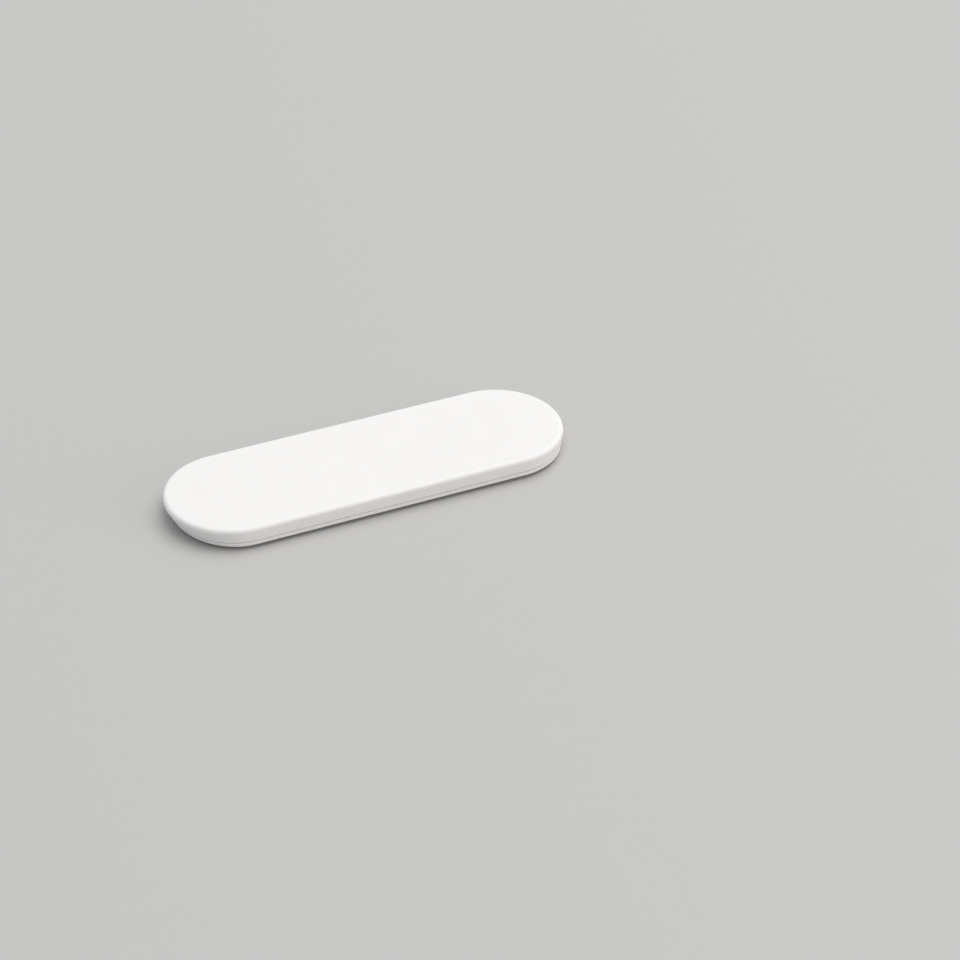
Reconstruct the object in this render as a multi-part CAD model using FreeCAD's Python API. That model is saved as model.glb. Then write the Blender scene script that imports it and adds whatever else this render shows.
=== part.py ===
import FreeCAD, Part
import math
import os

# Stick-on folding phone stand.
# Closed, it is a thin white pill. Foam tape holds a base plate, and a leg of the same outline lies on the
# plate. The leg turns up on a pin at its right end until it stands square to the plate. A split spring
# sleeve grips the pin, so the leg stays where it is put.
# Millimetres. X runs along the pill, with +X towards the hinge. Z is up from the sticky face of the tape,
# and the origin is in the middle of the pill, on that face.

# Outline seen from above: straight sides and two round ends
LENGTH = 83.2
WIDTH = 26.75

# Stack of layers, from the sticky face up
TAPE_THICKNESS = 1.0
TAPE_SEAT = 0.25
BASE_THICKNESS = 0.85
SEAM_GAP = 0.1
LEG_THICKNESS = 2.9

# Edges
TOP_ROUND = 0.8
SEAM_CHAMFER = 0.1
LOWER_CHAMFER = 0.15
END_CORNER_ROUND = 0.5

# Under a short upright rim each end's wall leans in: a little at the hinge end, as draft, and at the free
# end far enough for a nail to get under the leg
FREE_SETBACK = 1.5
HINGE_SETBACK = 0.4
LEAN_RIM = 0.2

# Foam tape, set in from the edge of the base plate
TAPE_MARGIN = 2.4
SEAT_CLEARANCE = 0.15

# Underside of the leg: rounded pockets between ribs
TOP_SKIN = 1.1
SIDE_WALL = 1.2
RIB_THICKNESS = 0.8
RIB_RECESS = 0.2
POCKET_COLUMNS = 8
POCKET_ROWS = 3
POCKET_CORNER = 0.6

# Hinge: a steel pin, snapped into the leg, turns in a spring sleeve in the base plate's barrel
PIN_DIAMETER = 1.0
PIN_CHAMFER = 0.1
PIN_END_WALL = 1.8
PIN_END_PLAY = 0.1
SNAP_GRIP = 0.08
RUNNING_CLEARANCE = 0.02
SLEEVE_WALL = 0.18
SLEEVE_SEAM_DEG = 50.0
KEY_CLEARANCE = 0.05
BARREL_WALL = 0.5
BARREL_WIDTH = 6.0
GUSSET_RUN = 1.2
HINGE_CLEARANCE = 0.15
HINGE_SIDE_PLAY = 0.2
HINGE_SKIN = 0.7
HINGE_TIP_WALL = 0.85
HINGE_BLOCK = 5.0
STOP_CLEARANCE = 0.05

# How far a cutting shape runs past what it cuts, and how near two heights are the same
OVERCUT = 1.0
SAME = 0.001

# Heights
base_bottom = TAPE_THICKNESS - TAPE_SEAT
base_top = base_bottom + BASE_THICKNESS
leg_bottom = base_top + SEAM_GAP
leg_top = leg_bottom + LEG_THICKNESS

# Ends of the pill, the middles of their rounds, and the height from which their walls lean in
free_end = -LENGTH / 2
hinge_end = LENGTH / 2
outline_radius = WIDTH / 2
free_middle = free_end + outline_radius
hinge_middle = hinge_end - outline_radius
lean_top = leg_top - TOP_ROUND - LEAN_RIM

# Hinge radii from the pin outwards, and the axis, which leaves room for them under the skin and at the tip
pin_radius = PIN_DIAMETER / 2
sleeve_bore = pin_radius + RUNNING_CLEARANCE
sleeve_radius = sleeve_bore + SLEEVE_WALL
barrel_radius = sleeve_radius + BARREL_WALL
slot_radius = barrel_radius + HINGE_CLEARANCE
axis_x = hinge_end - HINGE_TIP_WALL - slot_radius
axis_z = leg_top - HINGE_SKIN - slot_radius

# With the leg square to the base plate, its underside stops against the end face of the plate
axis_to_underside = axis_z - leg_bottom
base_end = axis_x - axis_to_underside - STOP_CLEARANCE
gusset_foot = axis_x - barrel_radius - GUSSET_RUN

# Foam tape: it fills the base plate's underside up to a margin
tape_left = free_end + FREE_SETBACK + TAPE_MARGIN
tape_right = base_end - TAPE_MARGIN
tape_width = WIDTH - 2 * TAPE_MARGIN


def flat(x, z):
    """A point of a side profile, in the plane Y = 0."""
    return FreeCAD.Vector(x, 0, z)


def line(start, end):
    return Part.LineSegment(start, end).toShape()


def arc(start, middle, end):
    return Part.Arc(start, middle, end).toShape()


def polygon(*points):
    """Straight edges from point to point and back to the first."""
    return [line(start, end) for start, end in zip(points, points[1:] + points[:1])]


def across(edges, width):
    """A closed side profile made solid across the pill, half its width each side of the middle."""
    face = Part.Face(Part.Wire(edges))
    face.translate(FreeCAD.Vector(0, -width / 2, 0))
    return face.extrude(FreeCAD.Vector(0, width, 0))


def pill_face(x_low, x_high, width, z):
    """A flat face with straight sides and two round ends."""
    radius = width / 2
    left, right = x_low + radius, x_high - radius

    def at(x, y):
        return FreeCAD.Vector(x, y, z)

    return Part.Face(Part.Wire([
        line(at(left, -radius), at(right, -radius)),
        arc(at(right, -radius), at(x_high, 0), at(right, radius)),
        line(at(right, radius), at(left, radius)),
        arc(at(left, radius), at(x_low, 0), at(left, -radius)),
    ]))


def trimmed_face(x_low, x_high, y_low, y_high, inset, corner, z):
    """A round-ended outline inside the leg's wall, trimmed to a rectangle, with every corner rounded.

    The outline and the rectangle are drawn smaller by the corner's radius, and what they share grows by it.
    """
    shrink = inset + corner
    x_start = free_end + setback(FREE_SETBACK, z) + shrink
    x_stop = hinge_end - setback(HINGE_SETBACK, z) - shrink
    inner = pill_face(x_start, x_stop, WIDTH - 2 * shrink, z)
    core = box(x_low + corner, x_high - corner, y_low + corner, y_high - corner, z - OVERCUT, z + OVERCUT)
    return inner.common(core).Faces[0].makeOffset2D(corner)


def raised(face, z):
    """A flat face made solid up to a height."""
    return face.extrude(FreeCAD.Vector(0, 0, z - face.BoundBox.ZMin))


def box(x_low, x_high, y_low, y_high, z_low, z_high):
    corner = FreeCAD.Vector(x_low, y_low, z_low)
    return Part.makeBox(x_high - x_low, y_high - y_low, z_high - z_low, corner)


def level_edges(shape, z):
    """Edges that lie flat at a height."""
    spans = [(edge, edge.BoundBox) for edge in shape.Edges]
    return [edge for edge, span in spans if abs(span.ZMin - z) < SAME and abs(span.ZMax - z) < SAME]


def rising_edges(shape, x):
    """Edges that rise from one height to another at a place along the pill."""
    spans = [(edge, edge.BoundBox) for edge in shape.Edges]
    return [edge for edge, span in spans if abs(span.XMin - x) < SAME and abs(span.XMax - x) < SAME
            and span.ZLength > SAME]


def on_axis(radius, width):
    """A cylinder on the hinge axis, half its width each side of the middle."""
    start = FreeCAD.Vector(axis_x, -width / 2, axis_z)
    return Part.makeCylinder(radius, width, start, FreeCAD.Vector(0, 1, 0))


def wedge(half_angle, width):
    """A wedge that opens upwards from the hinge axis, past the barrel."""
    height = 2 * barrel_radius
    spread = height * math.tan(half_angle)
    return across(polygon(
        flat(axis_x, axis_z),
        flat(axis_x + spread, axis_z + height),
        flat(axis_x - spread, axis_z + height),
    ), width)


def setback(total, z):
    """How far an end's wall has leaned in at a height, out of its total at the foot of the base plate."""
    return total * (lean_top - z) / (lean_top - base_bottom)


def half_round(middle_x, tip_x, z):
    """An end's outline at a height: half a circle at the rim, and below it half of a shorter ellipse."""
    side = FreeCAD.Vector(middle_x, outline_radius, z)
    other_side = FreeCAD.Vector(middle_x, -outline_radius, z)
    middle = FreeCAD.Vector(middle_x, 0, z)
    tip = FreeCAD.Vector(tip_x, 0, z)
    if lean_top - z > SAME:
        half = Part.ArcOfEllipse(Part.Ellipse(side, tip, middle), 0, math.pi).toShape()
    else:
        half = arc(side, tip, other_side)
    return Part.Wire([half, line(other_side, side)])


def leaning_blank(z_low, z_high):
    """The pill between two heights: straight sides, and at each end a wall that leans in."""
    heights = (z_low, z_high)
    free = [half_round(free_middle, free_end + setback(FREE_SETBACK, z), z) for z in heights]
    hinge = [half_round(hinge_middle, hinge_end - setback(HINGE_SETBACK, z), z) for z in heights]
    between = box(free_middle, hinge_middle, -outline_radius, outline_radius, z_low, z_high)
    return between.fuse([Part.makeLoft(free, True, True), Part.makeLoft(hinge, True, True)])


def make_foam_tape():
    return raised(pill_face(tape_left, tape_right, tape_width, 0), TAPE_THICKNESS)


def hinge_barrel():
    """The barrel, its gusset and the key in its bore that stops the sleeve from turning."""
    floor = base_bottom + TAPE_SEAT
    gusset = across(polygon(
        flat(axis_x - barrel_radius, axis_z),
        flat(gusset_foot, base_top),
        flat(gusset_foot, floor),
        flat(base_end, floor),
        flat(base_end, axis_z),
    ), BARREL_WIDTH)
    key_angle = math.radians(SLEEVE_SEAM_DEG / 2) - KEY_CLEARANCE / sleeve_radius
    key = wedge(key_angle, 2 * BARREL_WIDTH).cut(on_axis(sleeve_bore + KEY_CLEARANCE, 3 * BARREL_WIDTH))
    bore = on_axis(sleeve_radius, 2 * BARREL_WIDTH).cut(key)
    return on_axis(barrel_radius, BARREL_WIDTH).fuse(gusset).cut(bore)


def make_base_plate():
    blank = leaning_blank(base_bottom, base_top)
    trim = box(base_end, hinge_end + OVERCUT, -WIDTH, WIDTH, base_bottom - OVERCUT, base_top + OVERCUT)
    plate = blank.cut(trim).removeSplitter()
    plate = plate.makeFillet(END_CORNER_ROUND, rising_edges(plate, base_end))
    plate = plate.makeChamfer(SEAM_CHAMFER, level_edges(plate, base_top))
    plate = plate.makeChamfer(LOWER_CHAMFER, level_edges(plate, base_bottom))
    seat_face = pill_face(tape_left - SEAT_CLEARANCE, tape_right + SEAT_CLEARANCE,
                          tape_width + 2 * SEAT_CLEARANCE, base_bottom - OVERCUT)
    seat = raised(seat_face, base_bottom + TAPE_SEAT)
    return plate.cut(seat).fuse(hinge_barrel()).removeSplitter()


def leg_pockets():
    """The hollow under the leg's top skin: a shallow recess, and above it rounded pockets between ribs."""
    x_low = free_end + setback(FREE_SETBACK, leg_bottom) + SIDE_WALL
    x_high = axis_x - HINGE_BLOCK
    y_high = WIDTH / 2 - SIDE_WALL
    rib_edge, ceiling = leg_bottom + RIB_RECESS, leg_top - TOP_SKIN
    recess = trimmed_face(x_low, x_high, -y_high, y_high, SIDE_WALL, POCKET_CORNER, leg_bottom)
    hollows = [raised(recess, rib_edge)]
    column = (x_high - x_low + RIB_THICKNESS) / POCKET_COLUMNS
    row = (2 * y_high + RIB_THICKNESS) / POCKET_ROWS
    for across_number in range(POCKET_ROWS):
        near = -y_high + across_number * row
        far = near + row - RIB_THICKNESS
        for along_number in range(POCKET_COLUMNS):
            left = x_low + along_number * column
            right = left + column - RIB_THICKNESS
            pocket = trimmed_face(left, right, near, far, SIDE_WALL, POCKET_CORNER, leg_bottom)
            hollows.append(raised(pocket, ceiling))
    return hollows


def hinge_slot():
    """Room in the leg for the barrel and its gusset: square behind the axis and round in front of it."""
    back = gusset_foot - HINGE_CLEARANCE
    front = axis_x + math.sqrt(slot_radius ** 2 - axis_to_underside ** 2)
    below, ceiling = leg_bottom - OVERCUT, axis_z + slot_radius
    return across([
        line(flat(back, below), flat(back, ceiling)),
        line(flat(back, ceiling), flat(axis_x, ceiling)),
        arc(flat(axis_x, ceiling), flat(axis_x + slot_radius, axis_z), flat(front, leg_bottom)),
        line(flat(front, leg_bottom), flat(front, below)),
        line(flat(front, below), flat(back, below)),
    ], BARREL_WIDTH + 2 * HINGE_SIDE_PLAY)


def pin_reach():
    """Half the pin's length: up to the end walls, inside the leg's outline at the height of the axis."""
    share = (axis_x - hinge_middle) / (outline_radius - setback(HINGE_SETBACK, axis_z))
    return outline_radius * math.sqrt(1 - share ** 2) - PIN_END_WALL


def pin_seat():
    """Bore for the pin, with a mouth below that is a little narrower than the pin, so that it snaps in."""
    reach = pin_reach() + PIN_END_PLAY
    half_mouth = pin_radius - SNAP_GRIP
    mouth = box(axis_x - half_mouth, axis_x + half_mouth, -reach, reach, leg_bottom - OVERCUT, axis_z)
    return on_axis(pin_radius, 2 * reach).fuse(mouth)


def make_leg_plate():
    rim = raised(pill_face(free_end, hinge_end, WIDTH, lean_top), leg_top)
    plate = leaning_blank(leg_bottom, lean_top).fuse(rim).removeSplitter()
    plate = plate.makeFillet(TOP_ROUND, level_edges(plate, leg_top))
    plate = plate.makeChamfer(SEAM_CHAMFER, level_edges(plate, leg_bottom))
    return plate.cut(leg_pockets() + [hinge_slot(), pin_seat()]).removeSplitter()


def make_hinge_pin():
    pin = on_axis(pin_radius, 2 * pin_reach())
    rims = [edge for edge in pin.Edges if edge.Closed]
    return pin.makeChamfer(PIN_CHAMFER, rims)


def make_friction_sleeve():
    """A tube rolled from spring strip, with an open seam along its top."""
    tube = on_axis(sleeve_radius, BARREL_WIDTH).cut(on_axis(sleeve_bore, 2 * BARREL_WIDTH))
    return tube.cut(wedge(math.radians(SLEEVE_SEAM_DEG / 2), 2 * BARREL_WIDTH))


MAKERS = {
    "foam_tape": make_foam_tape,
    "base_plate": make_base_plate,
    "leg_plate": make_leg_plate,
    "hinge_pin": make_hinge_pin,
    "friction_sleeve": make_friction_sleeve,
}

os.makedirs("parts", exist_ok=True)
for node, make in MAKERS.items():
    shape = make()
    shape.exportStep(f"parts/{node}.step")
    state = "valid" if shape.isValid() else "broken"
    print(node, len(shape.Solids), "solid", round(shape.Volume, 2), "mm3", state)
print("hinge axis: x", round(axis_x, 4), "z", round(axis_z, 4))
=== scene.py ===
import math

import bmesh
import bpy
import numpy as np
from bpy.props import FloatProperty, FloatVectorProperty, PointerProperty
from mathutils import Matrix, Vector


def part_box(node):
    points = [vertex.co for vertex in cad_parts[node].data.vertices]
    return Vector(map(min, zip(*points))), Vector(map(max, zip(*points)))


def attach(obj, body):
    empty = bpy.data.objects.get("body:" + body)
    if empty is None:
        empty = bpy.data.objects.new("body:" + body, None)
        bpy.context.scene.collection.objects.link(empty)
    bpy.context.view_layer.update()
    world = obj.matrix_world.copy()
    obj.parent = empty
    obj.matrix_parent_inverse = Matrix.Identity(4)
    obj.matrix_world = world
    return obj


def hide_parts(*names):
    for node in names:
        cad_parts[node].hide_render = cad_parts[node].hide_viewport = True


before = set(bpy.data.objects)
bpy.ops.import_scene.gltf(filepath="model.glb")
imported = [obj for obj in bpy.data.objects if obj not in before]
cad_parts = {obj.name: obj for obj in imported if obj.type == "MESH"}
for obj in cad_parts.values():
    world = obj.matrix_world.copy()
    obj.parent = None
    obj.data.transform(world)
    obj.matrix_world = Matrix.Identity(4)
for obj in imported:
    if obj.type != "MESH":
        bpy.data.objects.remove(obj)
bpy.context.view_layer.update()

bl_info = {
    "name": "Folding phone stand",
    "version": (1, 0, 0),
    "blender": (4, 5, 0),
    "location": "View3D > Sidebar > Phone stand",
    "description": "Finishes the moulded plates, builds the tape and the hinge metal, and sets the stage",
    "category": "Object",
}

MM = 0.001

# Boxes of the solids of the imported model that are built anew
TAPE_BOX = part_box("foam_tape")
PIN_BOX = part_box("hinge_pin")
SLEEVE_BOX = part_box("friction_sleeve")

# Marks of the ejector pins: the middle of one, the pitch to the next each way, the height of the face that
# has them, and whether it looks up or down. The leg has one in each pocket under its top skin.
LEG_MARKS = {
    "centre": (-35.1375 * MM, 0.0), "pitch": (9.325 * MM, 8.3833 * MM), "level": 3.5 * MM, "up": -1,
}
BASE_MARKS = {
    "centre": (0.0, 7 * MM), "pitch": (24 * MM, 14 * MM), "level": 1.6 * MM, "up": 1,
}

# Meshes: points nearer than this are one, and edges sharper than this stay sharp
MERGE_DISTANCE = 1e-7
SHARP_ANGLE = math.radians(35)

# Stage: half the floor's side, how far it lies under the tape, and the camera's sensor and clipping
FLOOR_HALF = 6.0
FLOOR_DROP = 0.01 * MM
SENSOR_WIDTH = 36.0
CLIP_NEAR = 0.01
CLIP_FAR = 50.0


class Sock:
    """A node's output in a material. Python's operators on it add Math nodes to the same material."""

    def __init__(self, tree, socket=None):
        self.tree = tree
        self.socket = socket

    def node(self, kind, settings=None, inputs=None, output=0):
        """Adds a node: its settings first, then the values or links of its inputs. Gives one output."""
        made = self.tree.nodes.new(kind)
        for key, value in (settings or {}).items():
            setattr(made, key, value)
        for key, value in (inputs or {}).items():
            if isinstance(value, Sock):
                self.tree.links.new(value.socket, made.inputs[key])
            else:
                made.inputs[key].default_value = value
        return Sock(self.tree, made.outputs[output] if made.outputs else None)

    def math(self, operation, *values):
        return self.node("ShaderNodeMath", {"operation": operation}, dict(enumerate(values)))

    def __add__(self, other):
        return self.math("ADD", self, other)

    def __radd__(self, other):
        return self.math("ADD", other, self)

    def __sub__(self, other):
        return self.math("SUBTRACT", self, other)

    def __rsub__(self, other):
        return self.math("SUBTRACT", other, self)

    def __mul__(self, other):
        return self.math("MULTIPLY", self, other)

    def __rmul__(self, other):
        return self.math("MULTIPLY", other, self)

    def __pow__(self, other):
        return self.math("POWER", self, other)

    def __rpow__(self, other):
        return self.math("POWER", other, self)

    def __mod__(self, other):
        return self.math("FLOORED_MODULO", self, other)

    def __rmod__(self, other):
        return self.math("FLOORED_MODULO", other, self)

    def __abs__(self):
        return self.math("ABSOLUTE", self)

    def fade(self, low, high):
        """0 below low, 1 above high, and a smooth step between them. low may be the larger one."""
        if low > high:
            return 1 - self.fade(high, low)
        settings = {"interpolation_type": "SMOOTHSTEP"}
        return self.node("ShaderNodeMapRange", settings, {"Value": self, "From Min": low, "From Max": high})

    def blend(self, first, second):
        """The first colour where this is 0 and the second where it is 1."""
        settings = {"data_type": "RGBA"}
        return self.node("ShaderNodeMix", settings, {"Factor": self, 6: first, 7: second}, 2)


class Paint:
    """A new material with its surface coordinates at hand and one principled surface."""

    def __init__(self, name):
        self.material = bpy.data.materials.new(name)
        self.material.use_nodes = True
        self.tree = self.material.node_tree
        self.tree.nodes.clear()
        self.start = Sock(self.tree)
        self.place = self.start.node("ShaderNodeTexCoord", output="Object")
        self.x, self.y, self.z = self.parts(self.place)

    def parts(self, vector):
        """The three parts of a vector."""
        split = self.start.node("ShaderNodeSeparateXYZ", {}, {0: vector}).socket.node
        return [Sock(self.tree, split.outputs[axis]) for axis in "XYZ"]

    def noise(self, size, detail=2.0, stretch=(1, 1, 1)):
        """Soft noise around 0.5 whose lumps are about size metres across, times stretch on each axis."""
        scale = tuple(1 / (size * part) for part in stretch)
        place = self.start.node("ShaderNodeMapping", {}, {"Vector": self.place, "Scale": scale})
        return self.start.node(
            "ShaderNodeTexNoise", {}, {"Vector": place, "Scale": 1.0, "Detail": detail}, "Fac"
        )

    def cells(self, size):
        """Distance from the middle of closed cells that are about size metres across."""
        inputs = {"Vector": self.place, "Scale": 1 / size}
        return self.start.node("ShaderNodeTexVoronoi", {"feature": "F1"}, inputs, "Distance")

    def bump(self, height, depth, below=None):
        """A normal from a height of 0 to 1 that stands for depth metres, over another normal below it."""
        inputs = {"Height": height, "Distance": depth, "Strength": 1.0}
        if below is not None:
            inputs["Normal"] = below
        return self.start.node("ShaderNodeBump", {}, inputs)

    def surface(self, far=None, glow=None, **inputs):
        """Joins the principled surface to the output. Underscores in a name stand for spaces.

        With far given, the surface passes into a plain glow where far is 1.
        """
        named = {key.replace("_", " "): value for key, value in inputs.items()}
        shader = self.start.node("ShaderNodeBsdfPrincipled", {}, named)
        if far is not None:
            plain = self.start.node("ShaderNodeEmission", {}, {"Color": glow, "Strength": 1.0})
            shader = self.start.node("ShaderNodeMixShader", {}, {0: far, 1: shader, 2: plain})
        self.start.node("ShaderNodeOutputMaterial", {}, {"Surface": shader})
        return self.material


def grid_mesh(name, points, closed):
    """A mesh from points on a grid of two parameters, shape (around, along, 3).

    The quad at (i, j) joins the points i, i + 1 around and j, j + 1 along, and closed says whether the last
    row around joins the first. Rows that fall on one another, at a pole or a fold, are merged afterwards.
    """
    around, along = points.shape[:2]
    rows = np.arange(around if closed else around - 1)[:, None]
    steps = np.arange(along - 1)[None, :]
    here, there = rows * along + steps, (rows + 1) % around * along + steps
    quads = np.stack([here, there, there + 1, here + 1], axis=-1).reshape(-1, 4)
    mesh = bpy.data.meshes.new(name)
    mesh.from_pydata(points.reshape(-1, 3), [], quads)
    work = bmesh.new()
    work.from_mesh(mesh)
    bmesh.ops.remove_doubles(work, verts=work.verts, dist=MERGE_DISTANCE)
    bmesh.ops.recalc_face_normals(work, faces=work.faces)
    work.to_mesh(mesh)
    work.free()
    mesh.polygons.foreach_set("use_smooth", np.ones(len(mesh.polygons), dtype=bool))
    mesh.set_sharp_from_angle(angle=SHARP_ANGLE)
    return mesh


def new_piece(name, mesh, material, body, node):
    """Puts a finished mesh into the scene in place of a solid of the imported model."""
    piece = bpy.data.objects.new(name, mesh)
    bpy.context.scene.collection.objects.link(piece)
    mesh.materials.append(material)
    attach(piece, body)
    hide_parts(node)
    return piece


def dress(node, material):
    """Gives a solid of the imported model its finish."""
    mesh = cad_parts[node].data
    mesh.materials.clear()
    mesh.materials.append(material)


def pill_path(x_low, x_high, radius, arc_steps, side_steps):
    """Centre points and outward directions around a pill's outline.

    Along a straight side the centre runs from one end's centre to the other and the direction stands square
    to the side. Round an end the centre stays and the direction turns by half a circle.
    """
    left, right = x_low + radius, x_high - radius
    turn = np.linspace(-math.pi / 2, math.pi / 2, arc_steps, endpoint=False)
    run = np.linspace(left, right, side_steps, endpoint=False)
    angle = np.concatenate([
        np.full(side_steps, -math.pi / 2), turn, np.full(side_steps, math.pi / 2), turn + math.pi
    ])
    centre = np.concatenate([
        run, np.full(arc_steps, right), (left + right) - run, np.full(arc_steps, left)
    ])
    return centre, np.cos(angle), np.sin(angle)


def foam_tape_points(tape):
    """The tape: an upright profile carried round the pill outline.

    A point is the centre plus (radius - inset) times the direction. The profile starts in the middle of the
    sticky face, runs out to the edge, up the cut edge and back to the middle of the upper face. Between its
    two films the foam is drawn in by draw * sin(pi * s), where s is the height from film to film, and the
    cut wanders a little round the outline, as three sine waves, each with a count, a size and a shift. The
    most they can come to is added, so that the cut only wanders inwards.
    """
    low, high = TAPE_BOX
    radius, thick = (high[1] - low[1]) / 2, high[2] - low[2]
    centre, out_x, out_y = pill_path(low[0], high[0], radius, arc_steps=72, side_steps=60)
    face_steps, foam_steps = 14, 17
    face = radius * np.linspace(1, 0.02, face_steps) ** 1.5
    rim = tape.film * 0.3
    s = np.linspace(0, 1, foam_steps)
    waist = np.sin(math.pi * s)
    inset = np.concatenate([
        face, [rim, 0.0, 0.0], rim + tape.draw * waist, [0.0, 0.0, rim], face[::-1]
    ])
    level = np.concatenate([
        np.zeros_like(face), [0.0, rim, tape.film],
        tape.film + (thick - 2 * tape.film) * s,
        [thick - tape.film, thick - rim, thick], np.full_like(face, thick),
    ])
    off_foam = np.zeros(face_steps + 3)
    on_foam = np.concatenate([off_foam, waist, off_foam])
    turn = np.linspace(0, 2 * math.pi, len(centre), endpoint=False)
    waves = ((17, 1.0, 0), (41, 0.6, 1), (97, 0.4, 2))
    wander = sum(size * np.sin(count * turn + shift) for count, size, shift in waves)
    most = sum(size for count, size, shift in waves)
    inset = inset[None, :] + tape.draw * 0.1 * (wander[:, None] + most) * on_foam[None, :]
    reach = radius - np.minimum(inset, radius)
    x = centre[:, None] + reach * out_x[:, None]
    y = reach * out_y[:, None]
    z = low[2] + np.broadcast_to(level, reach.shape)
    return np.stack([x, y, z], axis=-1)


def hinge_pin_points(pin_edge):
    """The pin: a profile of radius along Y turned once about the hinge axis.

    The radius is full along the pin and falls off over each end edge as a quarter circle, and the end faces
    close on the axis.
    """
    low, high = PIN_BOX
    radius, half = (high[0] - low[0]) / 2, (high[1] - low[1]) / 2
    edge_steps, turn_steps = 7, 72
    quarter = np.linspace(0, math.pi / 2, edge_steps)
    edge_r = radius - pin_edge * (1 - np.sin(quarter))
    edge_y = half - pin_edge * (1 - np.cos(quarter))
    on_end = radius * 0.4
    profile_r = np.concatenate([[0.0, on_end], edge_r, edge_r[::-1], [on_end, 0.0]])
    profile_y = np.concatenate([[-half, -half], -edge_y, edge_y[::-1], [half, half]])
    turn = np.linspace(0, 2 * math.pi, turn_steps, endpoint=False)[:, None]
    x = (low[0] + high[0]) / 2 + profile_r * np.sin(turn)
    z = (low[2] + high[2]) / 2 + profile_r * np.cos(turn)
    y = np.broadcast_to((low[1] + high[1]) / 2 + profile_y, x.shape)
    return np.stack([x, y, z], axis=-1)


def friction_sleeve_points(hinge):
    """The sleeve: the strip's section, a rectangle with round corners, carried round the hinge axis.

    The path is an arc from one lip of the open seam to the other. Over the last steps at each lip the
    section draws in towards its middle as a quarter circle, so that the lips are rounded and closed.
    """
    low, high = SLEEVE_BOX
    mid_x, mid_z = ((PIN_BOX[0][axis] + PIN_BOX[1][axis]) / 2 for axis in (0, 2))
    outer, half = (high[0] - low[0]) / 2, (high[1] - low[1]) / 2
    wall, round_off = hinge.strip, hinge.strip * 0.22
    corner_steps, lip_steps, path_steps = 5, 6, 97
    quarter = np.linspace(0, math.pi / 2, corner_steps)
    swing = np.concatenate([quarter, quarter + math.pi / 2, quarter + math.pi, quarter + 1.5 * math.pi])
    side_r = np.repeat([1, -1, -1, 1], corner_steps) * (wall / 2 - round_off)
    side_y = np.repeat([1, 1, -1, -1], corner_steps) * (half - round_off)
    section_r = side_r + round_off * np.cos(swing)
    section_y = side_y + round_off * np.sin(swing)
    lip = np.linspace(math.pi / 2, 0, lip_steps)
    seam = hinge.seam / 2
    lip_angle = round_off * (1 - np.sin(lip)) / outer
    path = np.linspace(seam + lip_angle[-1], 2 * math.pi - seam - lip_angle[-1], path_steps)
    angle = np.concatenate([seam + lip_angle[:-1], path, 2 * math.pi - seam - lip_angle[-2::-1]])
    draw = np.concatenate([np.cos(lip)[:-1], np.ones(path_steps), np.cos(lip)[-2::-1]])
    thick = 1 - round_off / (wall / 2) * (1 - draw)
    thick[[0, -1]] = 0.0
    r = outer - wall / 2 + section_r[:, None] * thick[None, :]
    y = section_y[:, None] * np.ones_like(angle)[None, :]
    x = mid_x + r * np.sin(angle)
    z = mid_z + r * np.cos(angle)
    return np.stack([x, y, z], axis=-1)


def tone(colour, level=1.0):
    """A colour brightened or darkened by a level, with full alpha."""
    return (*(part * level for part in colour), 1)


def grey(level):
    """A grey of a level, with full alpha."""
    return (level, level, level, 1)


def pin_marks(paint, width, centre, pitch, level, up):
    """Height of the round marks that ejector pins leave: a step at the edge of each.

    The marks repeat at a pitch each way from a centre. They are on faces at one level that look up or down.
    """
    near, edge = 0.03 * MM, 0.08 * MM
    x, y = (
        (value - middle + step / 2) % step - step / 2
        for value, middle, step in zip((paint.x, paint.y), centre, pitch)
    )
    reach = (x ** 2 + y ** 2) ** 0.5
    facing = paint.parts(paint.start.node("ShaderNodeTexCoord", output="Normal"))[2] * up
    face = abs(paint.z - level).fade(2 * near, near) * facing.fade(0.6, 0.9)
    return reach.fade(width / 2, width / 2 + edge) * face


def moulded_white(name, plastic, marks):
    """Satin moulded plastic: spark-eroded grain, slow cloudiness and, on the hidden side, ejector marks."""
    paint = Paint(name)
    cloud = paint.noise(9 * MM, detail=3.0)
    grain = paint.noise(plastic.grain, detail=3.0)
    fine = paint.noise(plastic.grain * 0.35)
    skin = paint.bump(grain * 0.7 + fine * 0.3, plastic.grain_depth)
    steps = pin_marks(paint, plastic.mark_width, **marks)
    return paint.surface(
        Base_Color=cloud.fade(0.3, 0.7).blend(tone(plastic.colour), tone(plastic.colour, 0.985)),
        Roughness=plastic.roughness + (grain - 0.5) * 0.16 + (cloud - 0.5) * 0.08,
        IOR=1.49,
        Subsurface_Weight=0.08,
        Subsurface_Radius=(1.0, 0.9, 0.8),
        Subsurface_Scale=0.4 * MM,
        Normal=paint.bump(steps, plastic.mark_depth, skin),
    )


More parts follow.
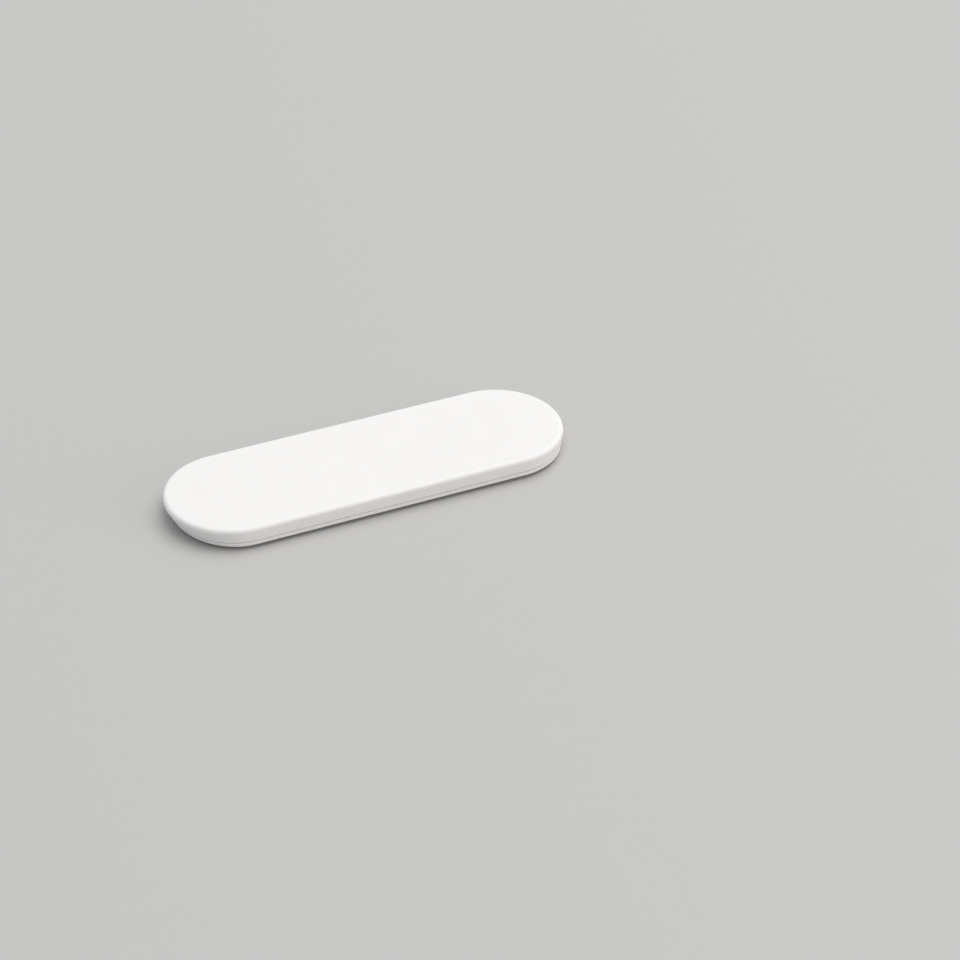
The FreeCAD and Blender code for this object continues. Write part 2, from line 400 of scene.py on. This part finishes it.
def tape_finish(tape):
    """Black closed-cell foam between two glossy films of adhesive."""
    paint = Paint("black_foam_tape")
    cells = paint.cells(tape.cell)
    small = paint.cells(tape.cell * 0.45)
    lumps = paint.noise(0.6 * MM, detail=3.0)
    ripple = paint.noise(2.4 * MM, stretch=(1, 0.6, 1))
    top = TAPE_BOX[1][2]
    above = paint.z.fade(tape.film * 0.9, tape.film * 1.1)
    below = paint.z.fade(top - tape.film * 0.9, top - tape.film * 1.1)
    film = 1 - above * below
    cut = paint.bump(cells * 0.7 + small * 0.3, tape.cell * 0.5)
    sticky = paint.bump(ripple * 0.8 + lumps * 0.2, 0.02 * MM)
    normal = film.node("ShaderNodeMix", {"data_type": "VECTOR"}, {"Factor": film, 4: cut, 5: sticky}, 1)
    # Colour of the cut foam: a random tone from the lumps, plus painted shade in the hollows of the cut
    # cells. It is darker at the bottom of each pit of the bump and lighter on the cell walls between them.
    foam = (cells * 0.8 + lumps * 0.4).fade(0.1, 0.8).blend(tone(tape.colour, 0.6), tone(tape.colour, 1.7))
    glue = ripple.blend(tone(tape.colour, 0.8), tone(tape.colour, 1.2))
    return paint.surface(
        Base_Color=film.blend(foam, glue),
        Roughness=0.86 - film * (0.5 + ripple * 0.16),
        Normal=normal,
    )


def steel_finish(name, colour, roughness, line_size, stretch):
    """Steel with drawn lines: noise that is short across the lines and long along them."""
    paint = Paint(name)
    lines = paint.noise(line_size, detail=4.0, stretch=stretch)
    stain = paint.noise(0.9 * MM, detail=3.0)
    return paint.surface(
        Base_Color=(lines * 0.5 + stain * 0.5).fade(0.35, 0.65).blend(tone(colour, 0.78), tone(colour)),
        Metallic=1.0,
        Roughness=roughness + (lines - 0.5) * 0.18 + (stain - 0.5) * 0.1,
        Normal=paint.bump(lines, 0.004 * MM),
    )


class PlasticSettings(bpy.types.PropertyGroup):
    """Finish of the two moulded plates."""

    colour: FloatVectorProperty(
        name="Colour", description="White of the moulding", subtype="COLOR", size=3, min=0, max=1,
        default=(0.865, 0.857, 0.85),
    )
    roughness: FloatProperty(
        name="Roughness", description="Satin of the moulded skin", subtype="FACTOR", min=0, max=1,
        default=0.55,
    )
    grain: FloatProperty(
        name="Grain", description="Width of one grain of the skin", unit="LENGTH", default=0.22 * MM
    )
    grain_depth: FloatProperty(
        name="Grain depth", description="Height of the grain", unit="LENGTH", default=0.006 * MM
    )
    mark_width: FloatProperty(
        name="Mark width", description="Width of an ejector pin's mark", unit="LENGTH", default=3.0 * MM
    )
    mark_depth: FloatProperty(
        name="Mark depth", description="Step at the edge of a mark", unit="LENGTH", default=0.05 * MM
    )


class TapeSettings(bpy.types.PropertyGroup):
    """The foam tape."""

    colour: FloatVectorProperty(
        name="Colour", description="Black of the foam", subtype="COLOR", size=3, min=0, max=1,
        default=(0.022, 0.022, 0.024),
    )
    film: FloatProperty(
        name="Film", description="Thickness of each film of adhesive", unit="LENGTH", default=0.06 * MM
    )
    draw: FloatProperty(
        name="Draw", description="How far the foam is drawn in between the films", unit="LENGTH",
        default=0.09 * MM,
    )
    cell: FloatProperty(name="Cell", description="Width of one foam cell", unit="LENGTH", default=0.16 * MM)


class HingeSettings(bpy.types.PropertyGroup):
    """The pin and the sleeve that grips it."""

    pin_colour: FloatVectorProperty(
        name="Pin colour", description="Ground steel", subtype="COLOR", size=3, min=0, max=1,
        default=(0.62, 0.61, 0.59),
    )
    pin_edge: FloatProperty(
        name="Pin edge", description="Round on the pin's end edges", unit="LENGTH", default=0.1 * MM
    )
    sleeve_colour: FloatVectorProperty(
        name="Sleeve colour", description="Tempered spring steel", subtype="COLOR", size=3, min=0, max=1,
        default=(0.46, 0.43, 0.39),
    )
    strip: FloatProperty(
        name="Strip", description="Thickness of the spring strip", unit="LENGTH", default=0.18 * MM
    )
    seam: FloatProperty(
        name="Seam", description="Open angle of the sleeve's seam", subtype="ANGLE",
        default=math.radians(50),
    )


class StageSettings(bpy.types.PropertyGroup):
    """Floor, light and camera."""

    floor_colour: FloatVectorProperty(
        name="Floor", description="Pale floor", subtype="COLOR", size=3, min=0, max=1,
        default=(0.524, 0.52, 0.515),
    )
    fade_start: FloatProperty(
        name="Fade start", description="How far out the floor begins to pass into the backdrop",
        unit="LENGTH", default=0.35,
    )
    fade_end: FloatProperty(
        name="Fade end", description="How far out the floor has become the backdrop", unit="LENGTH",
        default=0.95,
    )
    sky: FloatProperty(name="Sky", description="Level of the even light from all round", default=0.53)
    backdrop: FloatProperty(name="Backdrop", description="Grey that shows past the floor", default=0.56)
    key_power: FloatProperty(
        name="Key", description="Broad lamp overhead, to the right", unit="POWER", default=45.0
    )
    key_colour: FloatVectorProperty(
        name="Key colour", description="Light of the lamp overhead", subtype="COLOR", size=3, min=0, max=1,
        default=(1.0, 1.0, 1.0),
    )
    key_size: FloatProperty(
        name="Key size", description="Side of the lamp overhead", unit="LENGTH", default=2.5
    )
    key_place: FloatVectorProperty(
        name="Key place", description="Where the lamp overhead hangs", subtype="TRANSLATION",
        unit="LENGTH", default=(0.875, 0.25, 2.325),
    )
    fill_power: FloatProperty(
        name="Fill", description="Weak lamp in front, to the right", unit="POWER", default=4.4
    )
    fill_colour: FloatVectorProperty(
        name="Fill colour", description="Light of the lamp in front", subtype="COLOR", size=3, min=0, max=1,
        default=(1.0, 0.94, 0.89),
    )
    fill_size: FloatProperty(
        name="Fill size", description="Side of the lamp in front", unit="LENGTH", default=0.8
    )
    fill_place: FloatVectorProperty(
        name="Fill place", description="Where the lamp in front stands", subtype="TRANSLATION",
        unit="LENGTH", default=(0.95, -0.99, 0.245),
    )
    camera_aim: FloatVectorProperty(
        name="Camera aim", description="Point on the floor in the middle of the picture",
        subtype="TRANSLATION", unit="LENGTH", default=(19.967 * MM, -10.147 * MM, 0.0),
    )
    camera_distance: FloatProperty(
        name="Camera distance", description="From the camera to its aim", unit="LENGTH", default=567.43 * MM
    )
    camera_azimuth: FloatProperty(
        name="Camera azimuth", description="Turn from the front, to the right", subtype="ANGLE",
        default=math.radians(-25.362),
    )
    camera_elevation: FloatProperty(
        name="Camera elevation", description="Height above the floor", subtype="ANGLE",
        default=math.radians(35.183),
    )
    camera_roll: FloatProperty(
        name="Camera roll", description="Tilt of the picture", subtype="ANGLE", default=math.radians(0.927)
    )
    camera_lens: FloatProperty(
        name="Camera lens", description="Focal length in millimetres", unit="CAMERA", default=107.787
    )


class StandSettings(bpy.types.PropertyGroup):
    """Everything about the stand that can be set."""

    plastic: PointerProperty(type=PlasticSettings)
    tape: PointerProperty(type=TapeSettings)
    hinge: PointerProperty(type=HingeSettings)
    stage: PointerProperty(type=StageSettings)


class STAND_OT_plates(bpy.types.Operator):
    """Give the leg and the base plate their moulded white skin"""

    bl_idname = "phone_stand.plates"
    bl_label = "Moulded plates"

    def execute(self, context):
        plastic = context.scene.phone_stand.plastic
        dress("leg_plate", moulded_white("white_leg_moulding", plastic, LEG_MARKS))
        dress("base_plate", moulded_white("white_base_moulding", plastic, BASE_MARKS))
        return {"FINISHED"}


class STAND_OT_foam_tape(bpy.types.Operator):
    """Build the foam tape under the base plate"""

    bl_idname = "phone_stand.foam_tape"
    bl_label = "Foam tape"

    def execute(self, context):
        tape = context.scene.phone_stand.tape
        mesh = grid_mesh("die_cut_foam_tape", foam_tape_points(tape), closed=True)
        piece = new_piece("die_cut_foam_tape", mesh, tape_finish(tape), "base", "foam_tape")
        return {"FINISHED"}


class STAND_OT_hinge(bpy.types.Operator):
    """Build the hinge pin and its friction sleeve"""

    bl_idname = "phone_stand.hinge"
    bl_label = "Hinge metal"

    def execute(self, context):
        hinge = context.scene.phone_stand.hinge
        ground = steel_finish(
            "ground_pin_steel", hinge.pin_colour,
            roughness=0.24, line_size=0.05 * MM, stretch=(12, 1, 12),
        )
        pin = grid_mesh("ground_hinge_pin", hinge_pin_points(hinge.pin_edge), closed=True)
        new_piece("ground_hinge_pin", pin, ground, "leg", "hinge_pin")
        rolled = steel_finish(
            "rolled_spring_steel", hinge.sleeve_colour,
            roughness=0.34, line_size=0.06 * MM, stretch=(1, 14, 1),
        )
        sleeve = grid_mesh("rolled_friction_sleeve", friction_sleeve_points(hinge), closed=True)
        new_piece("rolled_friction_sleeve", sleeve, rolled, "base", "friction_sleeve")
        return {"FINISHED"}


class STAND_OT_stage(bpy.types.Operator):
    """Set the floor, the light and the camera"""

    bl_idname = "phone_stand.stage"
    bl_label = "Stage"

    def execute(self, context):
        stage = context.scene.phone_stand.stage
        context.scene.view_settings.view_transform = "Standard"
        self.lay_floor(context, stage)
        self.light(context, stage)
        self.aim_camera(context, stage)
        return {"FINISHED"}

    def lay_floor(self, context, stage):
        """A flat square a hair under the sticky face of the tape. Far out it passes into the backdrop."""
        side = np.array([-FLOOR_HALF, FLOOR_HALF])
        x, y = np.meshgrid(side, side, indexing="ij")
        mesh = grid_mesh("floor", np.stack([x, y, np.full_like(x, -FLOOR_DROP)], axis=-1), closed=False)
        if mesh.polygons[0].normal.z < 0:
            mesh.flip_normals()
        paint = Paint("pale_floor")
        far = ((paint.x ** 2 + paint.y ** 2) ** 0.5).fade(stage.fade_start, stage.fade_end)
        mesh.materials.append(paint.surface(
            far, grey(stage.backdrop),
            Base_Color=tone(stage.floor_colour), Roughness=0.7 + (paint.noise(6 * MM) - 0.5) * 0.1,
        ))
        floor = bpy.data.objects.new("floor", mesh)
        context.scene.collection.objects.link(floor)

    def light(self, context, stage):
        """Even light from all round, a plain backdrop for what looks past the floor, and two soft lamps.

        The weak lamp stands low, so it is kept out of reflections: the flat top would mirror it as a glare.
        """
        world = bpy.data.worlds.new("studio")
        context.scene.world = world
        world.use_nodes = True
        world.node_tree.nodes.clear()
        start = Sock(world.node_tree)
        path = start.node("ShaderNodeLightPath").socket.node
        rays = ("Camera", "Glossy", "Transmission")
        seen = [Sock(world.node_tree, path.outputs[f"Is {ray} Ray"]) for ray in rays]
        even = start.node("ShaderNodeBackground", {}, {"Color": (1, 1, 1, 1), "Strength": stage.sky})
        behind = start.node("ShaderNodeBackground", {}, {"Color": grey(stage.backdrop), "Strength": 1.0})
        shows = start.math("MAXIMUM", start.math("MAXIMUM", seen[0], seen[1]), seen[2])
        both = start.node("ShaderNodeMixShader", {}, {0: shows, 1: even, 2: behind})
        start.node("ShaderNodeOutputWorld", {}, {"Surface": both})
        for name in ("key", "fill"):
            lamp = bpy.data.lights.new(name, "AREA")
            lamp.energy, lamp.size = getattr(stage, f"{name}_power"), getattr(stage, f"{name}_size")
            lamp.color = getattr(stage, f"{name}_colour")
            place = Vector(getattr(stage, f"{name}_place"))
            stands = bpy.data.objects.new(name, lamp)
            stands.location = place
            stands.rotation_euler = (-place).to_track_quat("-Z", "Y").to_euler()
            stands.visible_glossy = name == "key"
            context.scene.collection.objects.link(stands)

    def aim_camera(self, context, stage):
        """The camera looks at its aim from an azimuth and an elevation, and rolls about its sight line."""
        turn, rise, roll = stage.camera_azimuth, stage.camera_elevation, stage.camera_roll
        back = Vector((math.sin(turn) * math.cos(rise), -math.cos(turn) * math.cos(rise), math.sin(rise)))
        level = Vector((math.cos(turn), math.sin(turn), 0))
        right = math.cos(roll) * level + math.sin(roll) * back.cross(level)
        axes = Matrix((right, back.cross(right), back)).transposed().to_4x4()
        lens = bpy.data.cameras.new("camera")
        lens.sensor_width, lens.lens = SENSOR_WIDTH, stage.camera_lens
        lens.clip_start, lens.clip_end = CLIP_NEAR, CLIP_FAR
        camera = bpy.data.objects.new("camera", lens)
        aim = Vector(stage.camera_aim)
        camera.matrix_world = Matrix.Translation(aim + stage.camera_distance * back) @ axes
        context.scene.collection.objects.link(camera)
        context.scene.camera = camera


class STAND_PT_panel(bpy.types.Panel):
    """Lists the stand's pieces and what can be set on each"""

    bl_idname = "STAND_PT_panel"
    bl_label = "Phone stand"
    bl_space_type = "VIEW_3D"
    bl_region_type = "UI"
    bl_category = "Phone stand"

    def draw(self, context):
        stand = context.scene.phone_stand
        groups = (
            (STAND_OT_plates, stand.plastic), (STAND_OT_foam_tape, stand.tape),
            (STAND_OT_hinge, stand.hinge), (STAND_OT_stage, stand.stage),
        )
        for operator, group in groups:
            box = self.layout.box()
            box.operator(operator.bl_idname)
            for name in group.__annotations__:
                box.prop(group, name)


CLASSES = (
    PlasticSettings, TapeSettings, HingeSettings, StageSettings, StandSettings,
    STAND_OT_plates, STAND_OT_foam_tape, STAND_OT_hinge, STAND_OT_stage, STAND_PT_panel,
)


def register():
    for made in CLASSES:
        bpy.utils.register_class(made)
    bpy.types.Scene.phone_stand = PointerProperty(type=StandSettings)


def unregister():
    del bpy.types.Scene.phone_stand
    for made in reversed(CLASSES):
        bpy.utils.unregister_class(made)


def main():
    register()
    bpy.ops.phone_stand.stage()
    bpy.ops.phone_stand.plates()
    bpy.ops.phone_stand.foam_tape()
    bpy.ops.phone_stand.hinge()
    bpy.context.view_layer.update()


if __name__ == "__main__":
    main()
